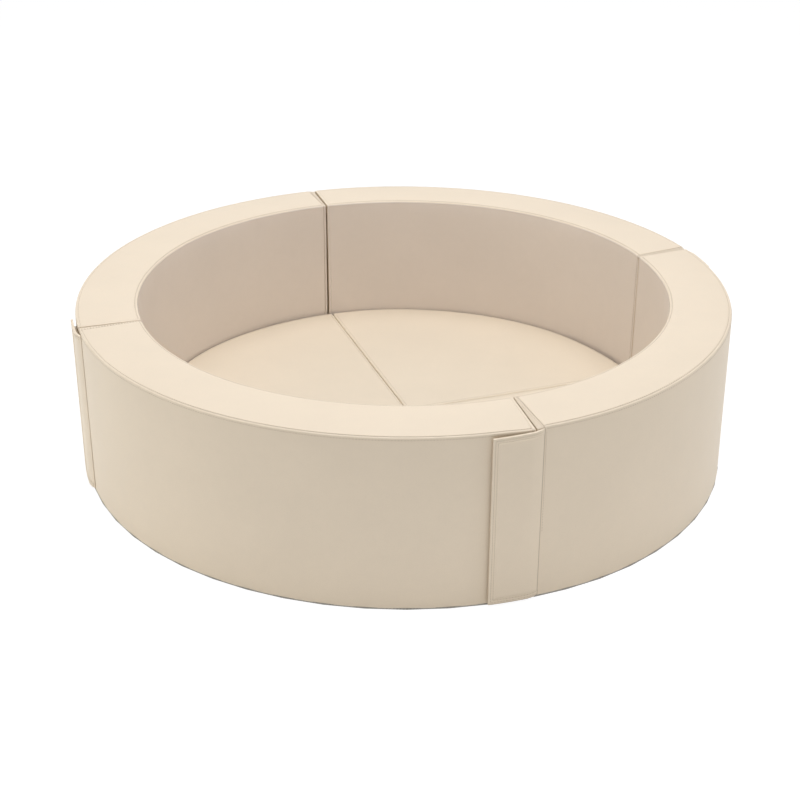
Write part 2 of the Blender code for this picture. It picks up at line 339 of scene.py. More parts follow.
def makeFloor():
    bpy.ops.mesh.primitive_plane_add(size=studio["floorSize"], location=(0.0, 0.0, 0.0))
    floor = bpy.context.object
    floor.name = "studioFloor"
    made = bpy.data.materials.new("studioFloorPaint")
    tree = emptyTree(made)
    matt = add(tree, "BsdfDiffuse", {"Color": studio["floorColour"]})
    glow = add(tree, "Emission", {"Strength": studio["floorLight"]})
    lit = add(tree, "AddShader", {0: matt.outputs[0], 1: glow.outputs[0]})
    seen = add(tree, "Emission", {"Strength": studio["floorGlow"]})
    share = value(tree, "MULTIPLY", seenOrMirrored(tree), 1.0 - studio["shadowShare"])
    mix = add(tree, "MixShader", {"Fac": share, 1: lit.outputs[0], 2: seen.outputs[0]})
    add(tree, "OutputMaterial", {"Surface": mix.outputs[0]})
    floor.data.materials.append(made)


makeSky()
for name, settings in studio["lamps"].items():
    makeLamp(name, *settings)
makeFloor()
print("camera, light and floor set")

# Leather and thread

skin = {
    "colour": (0.80, 0.685, 0.535),
    # a greyer, darker copy of the leather for the inside panels, which offsets the warm light bounced inside
    # the ring: painted light and shade
    "innerPaintedLightColour": (0.765, 0.68, 0.60),
    "padColour": (0.795, 0.694, 0.548),
    "roughness": 0.47,
    "pebble": 0.0013,  # size of a grain pebble
    "warp": 0.0009,  # how far the pebbles are bent out of round
    "grainDepth": 0.00006,
    # colour towards which painted shade darkens the seams' grooves, standing in for the shadow in them
    "seamShadeColour": (0.40, 0.32, 0.24),
    "seamShade": 0.75,
    "threadColour": (0.50, 0.40, 0.29),
}


def makeGrain():
    # pebbled grain of faux leather, with a slight unevenness of tint and gloss, and painted shade that
    # darkens the seams towards the seam shade colour
    tree, given, out = group(
        "leatherGrain",
        {"Colour": (0.8, 0.7, 0.55, 1.0), "Pebble": 0.0012, "Gloss": 0.45, "Seam": 0.0,
         "Seam Shade Colour": (0.6, 0.5, 0.4, 1.0)},
        {"Colour": "Color", "Roughness": "Float", "Height": "Float"},
    )
    where = objectPlace(tree)
    warp = noise(tree, where, 420.0, 1.0, output="Color")
    bent = add(tree, "VectorMath", {0: warp, 1: (skin["warp"],) * 3}, operation="MULTIPLY").outputs[0]
    moved = add(tree, "VectorMath", {0: where, 1: bent}, operation="ADD").outputs[0]
    scale = value(tree, "DIVIDE", 1.0, given["Pebble"])
    cells = add(tree, "TexVoronoi", {"Vector": moved, "Scale": scale, "Smoothness": 0.6}, feature="SMOOTH_F1")
    dome = value(tree, "SUBTRACT", 1.0, cells.outputs["Distance"])
    pores = value(tree, "MULTIPLY", noise(tree, where, 2600.0), 0.35)
    tree.links.new(value(tree, "ADD", dome, pores), out["Height"])

    patch = noise(tree, where, 46.0, 3.0)
    share = spread(tree, noise(tree, where, 5.0, 3.0, 0.55), 0.978, 1.012, 0.3, 0.7)
    share = value(tree, "MULTIPLY", share, spread(tree, patch, 0.992, 1.006, 0.3, 0.7))
    share = value(tree, "MULTIPLY", share, spread(tree, dome, 0.965, 1.0, 0.2, 0.75))
    # painted shade: the seams are darkened towards the seam shade colour
    seamShaded = blendColours(tree, given["Seam"], shaded(tree, given["Colour"], share), given["Seam Shade Colour"])
    tree.links.new(seamShaded, out["Colour"])

    rough = value(tree, "ADD", given["Gloss"], spread(tree, patch, -0.03, 0.04, 0.3, 0.7))
    rough = value(tree, "ADD", rough, value(tree, "MULTIPLY", given["Seam"], 0.25))
    tree.links.new(rough, out["Roughness"])
    return tree


grain = makeGrain()


def paint(name):
    made = bpy.data.materials.new(name)
    made.use_nodes = True
    return made, made.node_tree


def finishPaint(tree, colour, roughness, height, depth, strength=0.7):
    # joins a finish to the shader, with a bump of that depth
    shader = tree.nodes["Principled BSDF"].inputs
    bump = add(tree, "Bump", {"Height": height, "Strength": strength, "Distance": depth})
    tree.links.new(colour, shader["Base Color"])
    tree.links.new(bump.outputs[0], shader["Normal"])
    if isinstance(roughness, float):
        shader["Roughness"].default_value = roughness
    else:
        tree.links.new(roughness, shader["Roughness"])


def makeLeather(name, colour, seamShade=skin["seamShade"]):
    made, tree = paint(name)
    mark = add(tree, "Attribute", attribute_name="seamShade").outputs["Fac"]
    look = pattern(tree, grain, {
        "Colour": (*colour, 1.0), "Pebble": skin["pebble"], "Gloss": skin["roughness"],
        "Seam": value(tree, "MULTIPLY", mark, seamShade), "Seam Shade Colour": (*skin["seamShadeColour"], 1.0),
    })
    finishPaint(tree, look["Colour"], look["Roughness"], look["Height"], skin["grainDepth"], 0.5)
    return made


def makeThread(name, colour):
    # twisted thread: fine slanted ribs
    made, tree = paint(name)
    where = objectPlace(tree)
    ribs = {"Vector": where, "Scale": 900.0, "Distortion": 0.5}
    twist = add(tree, "TexWave", ribs, bands_direction="DIAGONAL").outputs["Fac"]
    height = value(tree, "ADD", twist, value(tree, "MULTIPLY", noise(tree, where, 3000.0), 0.5))
    finishPaint(tree, shaded(tree, colour, spread(tree, twist, 0.82, 1.0)), 0.7, height, 0.0001, 0.5)
    return made


wallLeather = makeLeather("wallLeather", skin["colour"])
# the inside panels' copy of the leather, in a colour that takes out the light bounced there: painted light
innerPaintedLightLeather = makeLeather("innerPaintedLightLeather", skin["innerPaintedLightColour"])
padLeather = makeLeather("padLeather", skin["padColour"])
flapLeather = makeLeather("flapLeather", skin["colour"], 0.9)
sideFlapLeather = makeLeather("sideFlapLeather", skin["colour"], 0.0)  # its seams hardly show
thread = makeThread("sewingThread", skin["threadColour"])


def dress(piece, material):
    piece.data.materials.clear()
    piece.data.materials.append(material)


# Finishes of the pieces that the leather hides

hidden = {
    "foam": (0.86, 0.83, 0.72),
    "cloth": (0.400, 0.380, 0.345),
    "clothThread": 0.0007,
    "dots": (0.280, 0.262, 0.235),
    "dotSpacing": 0.007,
    "zipTape": (0.64, 0.55, 0.43),
    "zipThread": 0.0006,
    "zipTeeth": (0.78, 0.71, 0.60),
    "toothPitch": 0.0016,
    "coilWidth": 0.004,
    "coilInset": 0.0145,  # the coil's middle to the side of its cover
    "slider": (0.60, 0.585, 0.55),
    "tapes": {  # colour, spacing and size of the hooks or loops, bump depth and roughness
        "hookTape": ((0.72, 0.63, 0.50), 0.0016, 0.24, 0.0007, 0.6),
        "loopTape": ((0.75, 0.66, 0.53), 0.0024, 0.45, 0.0008, 0.95),
    },
}


def makeRingPlaces():
    # the way round the ring and the distance from its axis, in metres, for patterns that follow the curve
    tree, _, out = group("ringPlaces", {}, {"Round": "Float", "Radius": "Float", "Up": "Float"})
    split = add(tree, "SeparateXYZ", {0: objectPlace(tree)}).outputs
    flat = add(tree, "CombineXYZ", {0: split[0], 1: split[1]}).outputs[0]
    turn = value(tree, "ARCTAN2", split[1], split[0])
    tree.links.new(value(tree, "MULTIPLY", turn, 0.7), out["Round"])
    tree.links.new(add(tree, "VectorMath", {0: flat}, operation="LENGTH").outputs["Value"], out["Radius"])
    tree.links.new(split[2], out["Up"])
    return tree


def makeWeave():
    # plain weave: threads that pass over and under each other
    tree, given, out = group("plainWeave", {"Along": 0.0, "Across": 0.0, "Thread": 0.0006},
                             {"Height": "Float", "Shade": "Float"})
    step = value(tree, "DIVIDE", pi, given["Thread"])
    ways = [value(tree, "MULTIPLY", given[way], step) for way in ("Along", "Across")]
    cross = value(tree, "MULTIPLY", *(value(tree, "SINE", way) for way in ways))
    tree.links.new(spread(tree, value(tree, "ABSOLUTE", cross), 0.0, 1.0), out["Height"])
    tree.links.new(spread(tree, cross, 0.84, 1.0, -1.0), out["Shade"])
    return tree


def makeDots():
    # a grid of round dots, 1 on a dot and 0 between
    start = {"X": 0.0, "Y": 0.0, "Spacing": 0.007, "Size": 0.27}
    tree, given, out = group("dotGrid", start, {"Mask": "Float"})
    parts = []
    for axis in ("X", "Y"):
        cell = value(tree, "FRACT", value(tree, "DIVIDE", given[axis], given["Spacing"]))
        parts.append(value(tree, "SUBTRACT", cell, 0.5))
    spot = add(tree, "CombineXYZ", {0: parts[0], 1: parts[1]}).outputs[0]
    far = add(tree, "VectorMath", {0: spot}, operation="LENGTH").outputs["Value"]
    mask = spread(tree, value(tree, "SUBTRACT", given["Size"], far), 0.0, 1.0, -0.03, 0.05)
    tree.links.new(mask, out["Mask"])
    return tree


ringPlaces, plainWeave, dotGrid = makeRingPlaces(), makeWeave(), makeDots()


def makeFoamPaint():
    made, tree = paint("openCellFoam")
    where = objectPlace(tree)
    cells = add(tree, "TexVoronoi", {"Vector": where, "Scale": 750.0}).outputs["Distance"]
    age = spread(tree, noise(tree, where, 9.0), 0.94, 1.0)
    share = value(tree, "MULTIPLY", spread(tree, cells, 0.80, 1.0, 0.1, 0.8), age)
    finishPaint(tree, shaded(tree, hidden["foam"], share), 0.95, cells, 0.0004)
    return made


def makeBasePaint():
    # woven cloth with rubber dots against slipping
    made, tree = paint("nonSlipCloth")
    x, y, _ = add(tree, "SeparateXYZ", {0: objectPlace(tree)}).outputs
    weave = pattern(tree, plainWeave, {"Along": x, "Across": y, "Thread": hidden["clothThread"]})
    dots = pattern(tree, dotGrid, {"X": x, "Y": y, "Spacing": hidden["dotSpacing"]})["Mask"]
    colour = blendColours(tree, dots, shaded(tree, hidden["cloth"], weave["Shade"]), (*hidden["dots"], 1.0))
    height = value(tree, "ADD", value(tree, "MULTIPLY", weave["Height"], 0.25), dots)
    finishPaint(tree, colour, spread(tree, dots, 0.88, 0.5), height, 0.0005)
    return made


def makeZipPaint():
    # woven tape, and a nylon coil whose teeth show along its middle
    made, tree = paint("zipTapeAndCoil")
    places = pattern(tree, ringPlaces)
    way, radius = places["Round"], places["Radius"]
    weave = pattern(tree, plainWeave, {"Along": way, "Across": radius, "Thread": hidden["zipThread"]})
    coils = []
    for middle in (ring["inner"] + hidden["coilInset"], reach("pad_cover_1")[1] - hidden["coilInset"]):
        far = value(tree, "ABSOLUTE", value(tree, "SUBTRACT", radius, middle))
        coils.append(value(tree, "LESS_THAN", far, hidden["coilWidth"] / 2.0))
    coil = value(tree, "MAXIMUM", *coils)
    teeth = value(tree, "SINE", value(tree, "MULTIPLY", way, 2.0 * pi / hidden["toothPitch"]))
    tape = shaded(tree, hidden["zipTape"], weave["Shade"])
    nylon = shaded(tree, hidden["zipTeeth"], spread(tree, teeth, 0.55, 1.0, -1.0))
    flat = value(tree, "MULTIPLY", weave["Height"], 0.3)
    height = add(tree, "Mix", {0: coil, 2: flat, 3: teeth}).outputs[0]
    finishPaint(tree, blendColours(tree, coil, tape, nylon), spread(tree, coil, 0.85, 0.4), height, 0.0003)
    return made


def makeTapePaint(name):
    # rows of hooks, or a pile of loops, on a woven tape
    colour, spacing, size, depth, roughness = hidden["tapes"][name]
    made, tree = paint(name)
    places = pattern(tree, ringPlaces)
    rows = pattern(tree, dotGrid, {"X": places["Round"], "Y": places["Up"], "Spacing": spacing, "Size": size})
    pile = noise(tree, objectPlace(tree), 1600.0, 4.0, 0.7)
    height = value(tree, "ADD", value(tree, "MULTIPLY", rows["Mask"], 0.6), pile)
    colour = shaded(tree, colour, spread(tree, height, 0.72, 1.0, 0.3, 1.1))
    finishPaint(tree, colour, roughness, height, depth)
    return made


def makeSliderPaint():
    # cast metal, rubbed brighter on its raised parts
    made, tree = paint("sliderMetal")
    long = add(tree, "Mapping", {"Vector": objectPlace(tree), "Scale": (1.0, 1.0, 12.0)}).outputs[0]
    brush = noise(tree, long, 500.0, 4.0)
    colour = shaded(tree, hidden["slider"], spread(tree, brush, 0.88, 1.0, 0.3, 0.7))
    finishPaint(tree, colour, spread(tree, brush, 0.26, 0.44, 0.3, 0.7), brush, 0.00005)
    tree.nodes["Principled BSDF"].inputs["Metallic"].default_value = 0.95
    return made


nodePaints = {
    "wall_foam": makeFoamPaint(),
    "wall_base": makeBasePaint(),
    "wall_zip": makeZipPaint(),
    "wall_zip_slider": makeSliderPaint(),
    "flap_hook_tape": makeTapePaint("hookTape"),
    "wall_loop_tape": makeTapePaint("loopTape"),
}
for kind in ("foam", "base", "zip", "zip_slider"):
    nodePaints[f"pad_{kind}"] = nodePaints[f"wall_{kind}"]
for number in numbers:
    for kind, material in nodePaints.items():
        dress(frame["nodes"][f"{kind}_{number}"], material)
print("hidden pieces painted")

# Padded covers, shared by the wall and the pads

padding = {
    "frames": 20,
    "cloth": {
        "quality": 6, "mass": 0.4, "vertex_group_mass": "sewn",
        "tension_stiffness": 40.0, "compression_stiffness": 40.0, "shear_stiffness": 30.0,
        "bending_stiffness": 4.0, "use_pressure": True, "uniform_pressure_force": 1.0,
    },
    "seamWidth": 0.0027,  # groove that a sewn seam pulls in
    "seamDepth": 0.0011,
    "leather": 0.001,
    "foamInset": 0.0028,
    "foamRoom": 0.0005,  # from the foam's underside to the zips
    "waves": 0.0006,  # unevenness of the foam under the leather
    "waveSize": 0.22,
    "waveStep": (0.37, 0.61, 0.0),  # so that no two covers have the same waves
    "underside": 0.002,  # what is cut off the bottom to open a cover
}
near = {  # how close a point lies to what it belongs to
    "touch": 0.0001,
    "cut": 0.0002,
    "plane": 0.0005,
    "seam": 0.0008,
    "side": 0.001,
}
zipTops = [reach(f"{kind}_1")[3] for kind in ("wall_zip", "wall_zip_slider", "pad_zip", "pad_zip_slider")]
padding["foamLow"] = max(zipTops) + padding["foamRoom"]


def endDistance(points):
    # how far each point lies from the nearer end plane of a section that starts at angle 0
    turn = np.arctan2(points[:, 1], points[:, 0])
    return radiusOf(points) * np.sin(np.minimum(turn, radians(ring["angle"]) - turn))


def swell(piece, most):
    # inflates a closed cover between its pinned seams; most is how far each point may move
    rest = pointsOf(piece)
    pinned = {corner for edge in piece.data.edges if edge.use_seam for corner in edge.vertices}
    pinned.update(np.flatnonzero(rest[:, 2] < rest[:, 2].min() + near["plane"]).tolist())
    piece.vertex_groups.new(name="sewn").add(sorted(pinned), 1.0, "REPLACE")
    pick(piece)
    modifier = piece.modifiers.new("cloth", "CLOTH")
    for name, amount in padding["cloth"].items():
        setattr(modifier.settings, name, amount)
    modifier.settings.effector_weights.gravity = 0.0
    modifier.collision_settings.use_collision = False
    modifier.collision_settings.use_self_collision = False
    modifier.point_cache.frame_start = 1
    modifier.point_cache.frame_end = padding["frames"]
    for frameNumber in range(1, padding["frames"] + 1):
        bpy.context.scene.frame_set(frameNumber)
    bpy.ops.object.modifier_apply(modifier=modifier.name)
    bpy.context.scene.frame_set(1)
    moved = pointsOf(piece) - rest
    length = np.linalg.norm(moved, axis=1)
    print(f"  {piece.name} swelled by {length.max() * 1000:.1f} mm before its limit")
    limit = np.maximum(most, 0.00001)
    share = limit * np.tanh(length / limit) / np.maximum(length, 0.0000001)
    setPoints(piece, rest + moved * share[:, None])
    piece.vertex_groups.clear()


def sewGrooves(piece, pull):
    # presses a groove in along the marked seams and paints shade into it as deep as it is pressed; pull gives
    # its share of the full depth
    openUp(piece)
    choose(piece, "EDGE", lambda edge: edge.seam)
    bpy.ops.mesh.bevel(offset=padding["seamWidth"] / 2.0, segments=4, affect="EDGES")
    bpy.ops.mesh.select_mode(type="VERT")
    closeUp()
    before = pointsOf(piece)
    openUp(piece)
    for share in (0.55, 0.45):
        bpy.ops.mesh.select_less()
        bpy.ops.transform.shrink_fatten(value=-padding["seamDepth"] * share)
    closeUp()
    sunk = (pointsOf(piece) - before) * pull(before)[:, None]
    setPoints(piece, before + sunk)
    mark(piece, "seamShade", "POINT", np.clip(np.linalg.norm(sunk, axis=1) / padding["seamDepth"], 0.0, 1.0))


waves = bpy.data.textures.new("foamWaves", "CLOUDS")
waves.noise_scale = padding["waveSize"]
waves.noise_depth = 1


def finishCover(piece, number, low, pull):
    # an open underside, grooves, slight waves and a leather's thickness
    lid = low + padding["underside"]
    openUp(piece)
    choose(piece, "FACE", lambda face: face.normal.z < -0.9 and face.calc_center_median().z < lid)
    bpy.ops.mesh.delete(type="FACE")
    closeUp()
    finishWith(piece, "SUBSURF", levels=1, render_levels=1)
    sewGrooves(piece, pull)
    shift = np.array(padding["waveStep"]) * number
    for way in (1.0, -1.0):
        pick(piece)
        piece.location = shift * way
        bpy.ops.object.transform_apply(location=True, rotation=False, scale=False)
        if way > 0.0:
            finishWith(piece, "DISPLACE", texture=waves, strength=padding["waves"], mid_level=0.5)
    finishWith(piece, "SOLIDIFY", thickness=padding["leather"], offset=-1.0)
    shadeSmooth(piece)


def markBevels(piece, full, part, partShare):
    # full and part are tests of an edge's two points, for a whole and a smaller soft edge
    weights = []
    for edge in piece.data.edges:
        here = list(edge.vertices)
        weights.append(1.0 if full(here) else partShare if part(here) else 0.0)
    mark(piece, "bevel_weight_edge", "EDGE", weights)


# Wall covers and floor pads

pad = {
    "core": 0.33,  # side of the square patch in the pad's corner
    "coreCells": 20,
    "coreRounding": 0.10,  # how far its far corner is drawn in
    "outerRings": 12,
    "rings": 4,
    "cornerRadius": 0.008,
    "topRadius": 0.0045,
    "pull": 0.15,  # its sewn edge is drawn in less than the wall's
    "crown": 0.0028,
    "crownRoom": 0.003,  # from the sewn edge to the top of the crown
    "crownReach": 0.150,
    "sideSwell": 0.0002,
    "arcSwell": 0.0012,
    "gap": 0.0012,  # between neighbours
    # how far the seams lie off the ring's axis in the photo, along and across joint 2, and how one leans
    "seamShift": (0.0035, -0.0200),
    "seamSlant": 0.0144,
    "shiftReach": (0.050, 0.350),
}
_, pad["radius"], pad["low"], padTop = reach("pad_cover_1")
pad["top"] = padTop - pad["crownRoom"]

wall = {
    "across": 8,
    "up": 20,
    "round": 60,
    "softRadius": 0.0038,  # bead round the rim
    "crispShare": 0.5,  # of that radius at the ends
    "endSeams": {"clockwise": (0.0058, 0.018), "counter": (0.0045, 0.0048)},  # inside and outside, to the end
    "endPull": {"clockwise": 1.0, "counter": 0.3},
    "rimReach": 0.006,  # from the rim to where the outer face's seam is pulled in fully
    # share of their full depth to which the rim's seams are drawn in, by angle, which also sets how much
    # shade is painted in them
    "innerPull": ((-180, 0.5), (-90, 0.35), (0, 0.5), (45, 1.0), (135, 1.0), (180, 0.5)),
    "outerPull": (
        (-180, 0.1), (-160, 0.1), (-148, 0.4), (-120, 0.95), (-65, 0.95), (-30, 0.5), (10, 0.15), (180, 0.1),
    ),
    "sags": {1: 0.0032, 2: 0.0048, 3: 0.0030, 4: 0.0012},  # how far the clockwise end's panel dips
    # painted shade on the clockwise end's panel, strongest where that panel turns from the light
    "stripPaintedShades": {1: 0.42, 2: 0.50, 3: 0.30, 4: 0.10},  # how much that panel darkens to the joint
    "sagReach": 0.030,
    # how far each section's first joint stands off its even place, inside and outside, in the photo
    "skews": {1: (0.0100, 0.0), 2: (-0.0030, 0.0110), 3: (-0.0035, -0.0125), 4: (-0.0155, -0.0240)},
    "skewReach": (0.020, 0.120),  # from the joint
    "skewFrom": (0.02, 0.12),  # heights between which that sets in
    "opening": {3: (0.0012, 0.0030)},  # how much wider that joint gapes, at the rim and at the pads
    "openingReach": 0.060,
    "backRise": 0.0030,  # the inner rim at the back
    "backRiseFrom": (0.1, 0.5),  # share of the way from the middle to the back
    "frontDip": 0.0028,  # the outer rim at the front
    "frontDipFrom": (0.15, 0.5),
    "frontDipTo": (-60.0, -30.0),  # angles between which that ends
    "upperReach": 0.09,  # how far below the rim these two reach
    "foot": 0.0042,  # how far section 1 stands out at its foot
    "footFrom": (-75.0, -50.0),  # angles between which that begins and ends
    "footTo": (-15.0, 10.0),
    "baseEdge": 0.0009,  # how much further up and out the base panel's edge shows than the cloth is thick
    "edgeReach": 0.004,  # what that lifts of the cover
    "baseRim": 0.003,  # how far in from the outer face the panel's edge reaches
    "dips": {1: 0.0030},  # the corner that the front flap pulls down
    "dipReach": 0.080,
    "topSwell": 0.0028,
    "outerSwell": 0.0022,
    "innerSwell": 0.0016,
    "sideFree": (0.030, 0.260),  # stretch from the ends in which the sides' swell sets in, and the top's
    "topFree": (0.010, 0.060),
}


def endPlane(end):
    # a point and a direction of the upright plane in which the seam by that end lies, and its square
    inside, outside = wall["endSeams"][end]
    half = ring["jointGap"] / 2.0
    start = np.array([ring["inner"], inside + half])
    along = np.array([ring["outer"], outside + half]) - start
    if end == "counter":
        start, along = start[::-1], along[::-1]
    along /= np.linalg.norm(along)
    square = np.array([-along[1], along[0]])
    return start, along, square if end == "clockwise" else -square


def pastSeam(points, end):
    # how far points lie past that end's seam, towards the end
    start, _, square = endPlane(end)
    return -(points[:, :2] - start) @ square


def makeWallCover():
    # one section with its clockwise end at angle 0
    margin = degrees(ring["jointGap"] / 2.0 / ring["middle"])
    piece = newGrid("wallCover", wall["across"], wall["up"])
    openUp(piece)
    chooseAll()
    bpy.ops.transform.resize(value=(ring["thick"], ring["rim"] - ring["low"], 1.0))
    turnUpright("X")
    bpy.ops.transform.translate(value=(ring["middle"], 0.0, (ring["rim"] + ring["low"]) / 2.0))
    turn = radians(ring["angle"] - 2.0 * margin)
    bpy.ops.mesh.spin(steps=wall["round"], angle=-turn, center=(0.0, 0.0, 0.0), axis=(0.0, 0.0, 1.0))
    closeUp()
    place(piece, margin)

    points = pointsOf(piece)
    radius = radiusOf(points)
    side = np.minimum(abs(radius - ring["outer"]), abs(radius - ring["inner"])) < near["side"]
    top = points[:, 2] > ring["rim"] - near["side"]
    ends = (endDistance(points) < ring["jointGap"]) & (top | side)
    markBevels(
        piece,
        lambda here: (top & side)[here].all(),
        lambda here: ends[here].all() and (top[here].all() or side[here].all()),
        wall["crispShare"],
    )
    finishWith(piece, "BEVEL", width=wall["softRadius"], segments=3, limit_method="WEIGHT", profile=0.5)
    for end in wall["endSeams"]:
        start, _, square = endPlane(end)
        openUp(piece)
        chooseAll()
        bpy.ops.mesh.bisect(plane_co=(*start, 0.0), plane_no=(*square, 0.0))
        closeUp()

    points = pointsOf(piece)
    radius = radiusOf(points)
    fromSide = np.minimum(ring["outer"] - radius, radius - ring["inner"])
    atRim = (abs(fromSide - wall["softRadius"]) < near["seam"]) & (points[:, 2] > ring["rim"] - near["plane"])
    sewn = []
    for end in wall["endSeams"]:
        past = pastSeam(points, end)
        atRim &= past < near["cut"]
        sewn.append((abs(past) < near["cut"]) & (points[:, 2] > ring["low"] + near["plane"]))
    sewn.append(atRim)
    for edge in piece.data.edges:
        here = list(edge.vertices)
        edge.use_seam = any(line[here].all() for line in sewn)
    return piece


def outwardShare(points):
    # 0 at the inside of the wall and 1 at the outside
    return np.clip((radiusOf(points) - ring["inner"]) / ring["thick"], 0.0, 1.0)


def stripShare(points):
    # 0 at the clockwise end's seam and 1 at the joint
    inside, outside = wall["endSeams"]["clockwise"]
    width = inside + (outside - inside) * outwardShare(points)
    return np.clip(pastSeam(points, "clockwise") / width, 0.0, 1.0)


def sagEnd(piece, sag):
    # the panel at the clockwise end dips to the joint, most on the outside
    points = pointsOf(piece)
    held = smoothStep(points[:, 2], ring["rim"] - wall["sagReach"], ring["rim"] - wall["softRadius"])
    points[:, 2] -= sag * (0.3 + 0.7 * outwardShare(points)) * stripShare(points) * held
    setPoints(piece, points)


def paintStripShade(piece, most):
    # painted shade on that panel, darkening it to the joint where it slopes away from the light
    points = pointsOf(piece)
    share = stripShare(points) * (points[:, 2] > ring["rim"] - 2.0 * wall["softRadius"])
    marks = piece.data.attributes["seamShade"].data
    before = np.empty(len(points))
    marks.foreach_get("value", before)
    marks.foreach_set("value", np.maximum(before, most * share ** 0.4))


def softenWallCover(piece):
    points = pointsOf(piece)
    away = endDistance(points)
    free = 0.05 + 0.95 * smoothStep(away, *wall["sideFree"])
    outside = radiusOf(points) > ring["middle"]
    most = np.where(outside, wall["outerSwell"], wall["innerSwell"]) * free
    onTop = wall["topSwell"] * (0.25 + 0.75 * smoothStep(away, *wall["topFree"]))
    swell(piece, np.where(points[:, 2] > ring["rim"] - near["plane"], onTop, most))


def wallPull(points, number):
    # how deep the seams are drawn in, and so how much shade is painted in them: least by the ends, and round
    # the rim less where the photo's seam fades
    radius = radiusOf(points)
    turn = np.degrees(np.arctan2(points[:, 1], points[:, 0])) + sectionStart(number)
    turn = (turn + 180.0) % 360.0 - 180.0
    inner, outer = (np.interp(turn, *zip(*wall[side])) for side in ("innerPull", "outerPull"))
    pull = np.where(radius < ring["middle"], inner, outer)
    outside = (radius > ring["outer"] - near["side"]) & (points[:, 2] < ring["rim"] - wall["rimReach"])
    for end, share in wall["endPull"].items():
        by = pastSeam(points, end) > -padding["seamWidth"]
        pull[by] = np.where(outside[by] & (end == "clockwise"), 1.0, share)
    return pull


def slantJoints(points):
    # the joints stand a little off their even places, one gapes, the front flap pulls down the corner that it
    # closes, the rim dips in front and rises behind, and section 1 stands out at its foot
    points = np.array(points, float)
    radius, height = radiusOf(points), points[:, 2]
    turn = np.arctan2(points[:, 1], points[:, 0])
    outward = outwardShare(points)
    shift = np.zeros(len(points))
    upper = smoothStep(height, ring["rim"] - wall["upperReach"], ring["rim"])
    drop = wall["frontDip"] * outward * upper * smoothStep(-np.sin(turn), *wall["frontDipFrom"])
    drop *= 1.0 - smoothStep(np.degrees(turn), *wall["frontDipTo"])
    drop -= wall["backRise"] * (1.0 - outward) * upper * smoothStep(np.sin(turn), *wall["backRiseFrom"])
    for number, (inside, outside) in wall["skews"].items():
        past = turn - radians(sectionStart(number))
        away = radius * np.arctan2(np.sin(past), np.cos(past))
        held = 1.0 - smoothStep(abs(away), *wall["skewReach"])
        shift += (inside + (outside - inside) * outward) * held * smoothStep(height, *wall["skewFrom"])
        atRim, atPads = wall["opening"].get(number, (0.0, 0.0))
        gape = atRim + (atPads - atRim) * (1.0 - smoothStep(height, pad["top"], ring["rim"]))
        held = 1.0 - smoothStep(abs(away), 0.0, wall["openingReach"])
        shift += np.sign(away) * gape / 2.0 * held * smoothStep(height, wall["skewFrom"][0], pad["top"])
        corner = 1.0 - smoothStep(-away, 0.0, wall["dipReach"])
        drop += wall["dips"].get(number, 0.0) * outward * corner * upper * (away < 0.0)
    foot = wall["foot"] * outward * (1.0 - height / ring["rim"])
    begun, ended = (smoothStep(np.degrees(turn), *wall[part]) for part in ("footFrom", "footTo"))
    foot *= begun * (1.0 - ended)
    low = ring["low"]
    lift = wall["baseEdge"] * (height > low - near["plane"]) * (height < low + wall["edgeReach"])
    grow = 1.0 + foot / radius
    c, s = np.cos(shift / radius), np.sin(shift / radius)
    x = (points[:, 0] * c - points[:, 1] * s) * grow
    y = (points[:, 0] * s + points[:, 1] * c) * grow
    return np.stack([x, y, height - drop + lift], axis=1)


def makeFoam(cover, name, turn, change):
    # the foam core: the cover's own shape, drawn in under the leather, with room for the zip below
    piece = copyOf(cover, name)
    openUp(piece)
    chooseAll()
    bpy.ops.transform.shrink_fatten(value=-padding["foamInset"])
    closeUp()
    points = pointsOf(piece)
    points[:, 2] = np.maximum(points[:, 2], padding["foamLow"])
    setPoints(piece, points)
    place(piece, turn)
    setPoints(piece, change(pointsOf(piece)))
    dress(piece, nodePaints["wall_foam"])
    shadeSmooth(piece)
    return piece


def thickenBase(points):
    # the base panel's own dark edge is pushed out and up so that it shows as a thin line round the foot of
    # the wall, where it also stands in for the contact shade
    points = np.array(points, float)
    radius = radiusOf(points)
    points[:, :2] *= (1.0 + wall["baseEdge"] * (radius > ring["outer"] - wall["baseRim"]) / radius)[:, None]
    points[:, 2] += wall["baseEdge"] * (points[:, 2] > ring["low"] / 2.0)
    return slantJoints(points)


def makeBase(node, name, change):
    piece = copyOf(frame["nodes"][node], name)
    setPoints(piece, change(pointsOf(piece)))
    return piece


hem = {
    "reach": 0.0224,  # from the end of a section or pad to the zip's end
    "side": 0.0012,  # it starts at the inside of the cover's leather
    "width": 0.0412,  # to past the base panel's edge
    "low": 0.0052,
    "thickness": 0.0008,
    "cells": (12, 4),
    "wallCorner": 0.003,  # radius of the wall cover's corner
}


